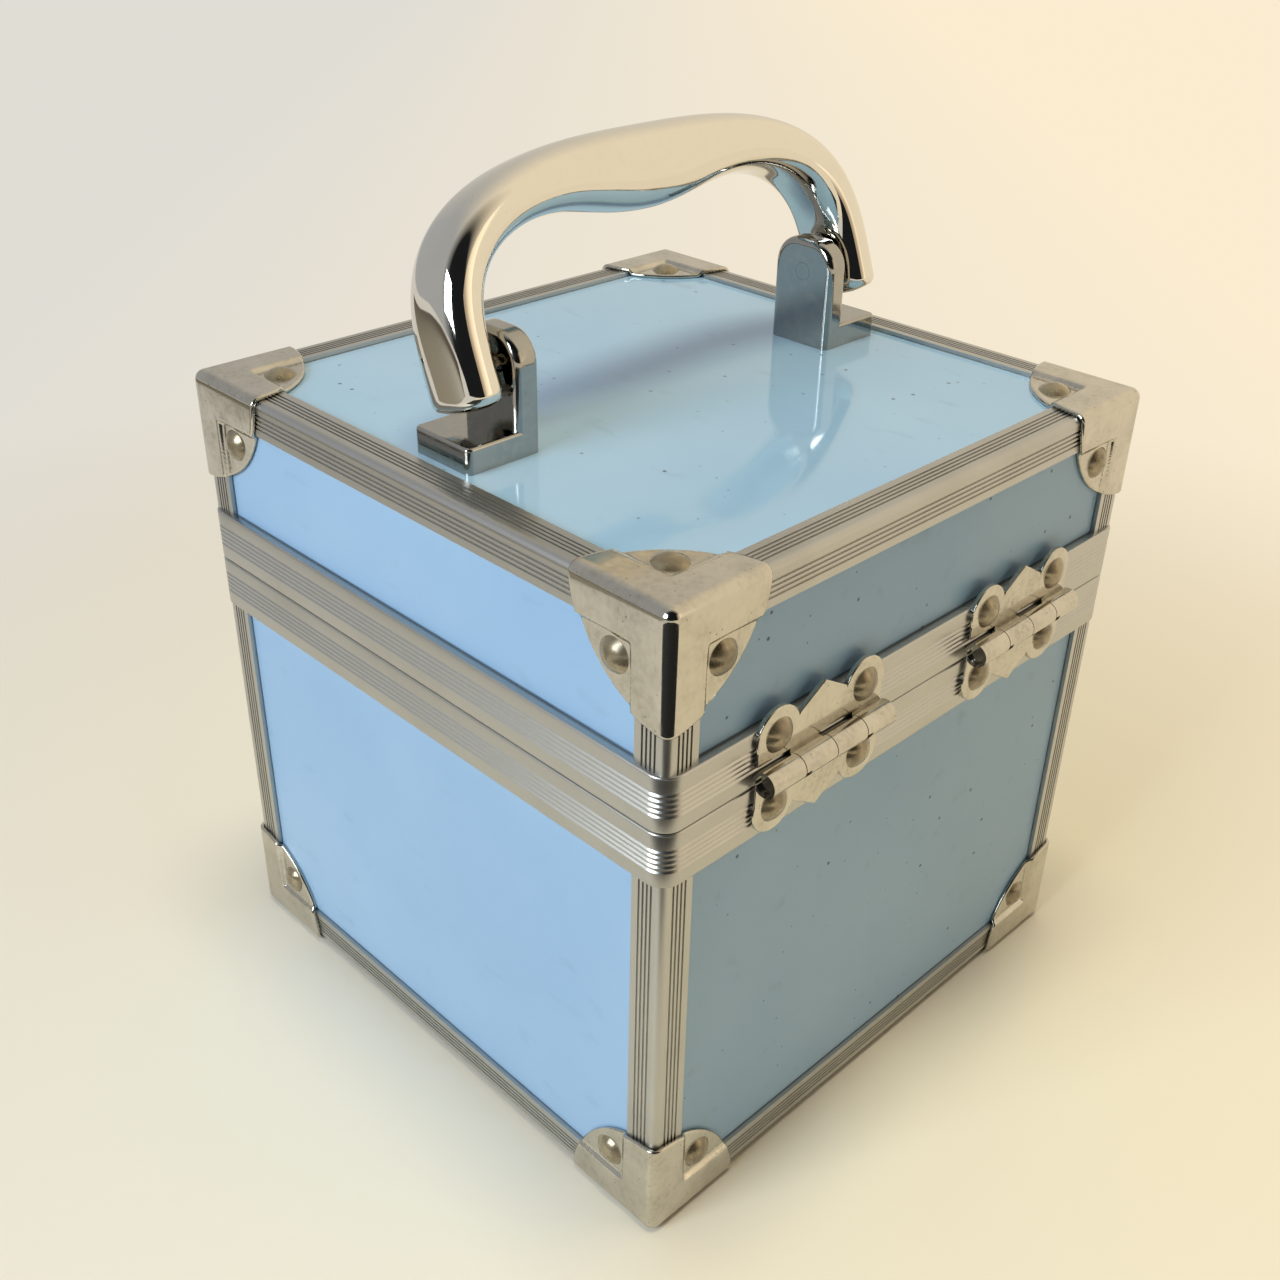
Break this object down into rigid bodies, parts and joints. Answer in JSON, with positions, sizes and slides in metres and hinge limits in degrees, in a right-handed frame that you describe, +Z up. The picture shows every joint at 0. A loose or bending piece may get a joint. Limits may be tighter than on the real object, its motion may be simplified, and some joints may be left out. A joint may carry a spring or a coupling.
{
  "type": "sewing box with trays",
  "caption": "Cube-shaped hinged box of blue laminate in a grooved aluminium frame with capped corners, a bow handle and trays that rise level as the lid opens",
  "frame": {"origin": "middle of the footprint, on the surface that the box stands on", "axes": "+Z up, X along the hinge line, +Y to the rear where the hinges are"},
  "size_m": [0.1514, 0.1608, 0.2047],
  "materials": {
    "blue_laminate": "glossy pale blue laminate on board",
    "satin_aluminium": "satin anodised, finely grooved",
    "corner_nickel": "pressed steel, nickel plated, lightly aged",
    "aged_rivet": "domed, tarnished",
    "hinge_nickel": "pressed steel, nickel plated, lightly aged",
    "handle_chrome": "mirror chrome",
    "tray_plastic": "moulded, slightly glossy",
    "dark_felt": "thin felt sheet",
    "latch_nickel": "pressed steel, nickel plated",
    "lift_steel": "zinc plated"
  },
  "bodies": {
    "base": {"arm_pins": "lift_steel", "base_bottom_edges": "satin_aluminium", "base_cap_front_left": "corner_nickel", "base_cap_front_right": "corner_nickel", "base_cap_rear_left": "corner_nickel", "base_cap_rear_right": "corner_nickel", "base_cap_rivets": "aged_rivet", "base_corner_posts": "satin_aluminium", "base_floor_panel": "blue_laminate", "base_front_panel": "blue_laminate", "base_hinge_rivets": "aged_rivet", "base_latch_rivets": "latch_nickel", "base_left_panel": "blue_laminate", "base_mat": "dark_felt", "base_rear_panel": "blue_laminate", "base_right_panel": "blue_laminate", "base_rim": "satin_aluminium", "catch_plate": "latch_nickel", "hinge_lower_leaf_left": "hinge_nickel", "hinge_lower_leaf_right": "hinge_nickel", "hinge_pin_left": "hinge_nickel", "hinge_pin_right": "hinge_nickel"},
    "lid": {"handle_foot_left": "handle_chrome", "handle_foot_right": "handle_chrome", "hinge_upper_leaf_left": "hinge_nickel", "hinge_upper_leaf_right": "hinge_nickel", "latch_plate": "latch_nickel", "lid_cap_front_left": "corner_nickel", "lid_cap_front_right": "corner_nickel", "lid_cap_rear_left": "corner_nickel", "lid_cap_rear_right": "corner_nickel", "lid_cap_rivets": "aged_rivet", "lid_corner_posts": "satin_aluminium", "lid_front_panel": "blue_laminate", "lid_hinge_rivets": "aged_rivet", "lid_latch_rivets": "latch_nickel", "lid_left_panel": "blue_laminate", "lid_pad": "dark_felt", "lid_rear_panel": "blue_laminate", "lid_right_panel": "blue_laminate", "lid_rim": "satin_aluminium", "lid_strip_left": "lift_steel", "lid_strip_right": "lift_steel", "lid_top_edges": "satin_aluminium", "lid_top_panel": "blue_laminate"},
    "rear_arms": {"rear_arm_left": "lift_steel", "rear_arm_right": "lift_steel"},
    "front_arms": {"front_arm_left": "lift_steel", "front_arm_right": "lift_steel"},
    "upper_tray": {"upper_tray": "tray_plastic", "upper_tray_pins": "lift_steel"},
    "lower_tray": {"lower_tray": "tray_plastic", "lower_tray_hangers": "lift_steel", "lower_tray_pins": "lift_steel"},
    "handle": {"bow_handle": "handle_chrome", "handle_pins": "handle_chrome"},
    "hasp": {"hasp": "latch_nickel", "hasp_pin": "latch_nickel"}
  },
  "joints": [
    {"name": "lid_hinge", "type": "hinge", "parent": "base", "child": "lid", "pos_m": [0, 0.0777, 0.1082], "axis": [-1, 0, 0], "range_deg": [0, 100]},
    {"name": "rear_arms_swing", "type": "hinge", "parent": "base", "child": "rear_arms", "pos_m": [0, 0.06, 0.095], "axis": [-1, 0, 0], "range_deg": [0, 100]},
    {"name": "front_arms_swing", "type": "hinge", "parent": "base", "child": "front_arms", "pos_m": [0, -0.014, 0.065], "axis": [-1, 0, 0], "range_deg": [0, 100]},
    {"name": "upper_tray_level", "type": "hinge", "parent": "rear_arms", "child": "upper_tray", "pos_m": [0, -0.00282, 0.08279], "axis": [-1, 0, 0], "range_deg": [-100, 0]},
    {"name": "lower_tray_level", "type": "hinge", "parent": "rear_arms", "child": "lower_tray", "pos_m": [0, 0.02859, 0.08889], "axis": [-1, 0, 0], "range_deg": [-100, 0]},
    {"name": "handle_swing", "type": "hinge", "parent": "lid", "child": "handle", "pos_m": [0, 0, 0.1673], "axis": [1, 0, 0], "range_deg": [-110, 70]},
    {"name": "hasp_swing", "type": "hinge", "parent": "lid", "child": "hasp", "pos_m": [0, -0.0774, 0.1134], "axis": [-1, 0, 0], "range_deg": [-5.6, 115]}
  ],
  "couplings": [
    {"joint": "rear_arms_swing", "follows": "lid_hinge", "ratio": 1},
    {"joint": "front_arms_swing", "follows": "lid_hinge", "ratio": 1},
    {"joint": "upper_tray_level", "follows": "lid_hinge", "ratio": -1},
    {"joint": "lower_tray_level", "follows": "lid_hinge", "ratio": -1}
  ]
}
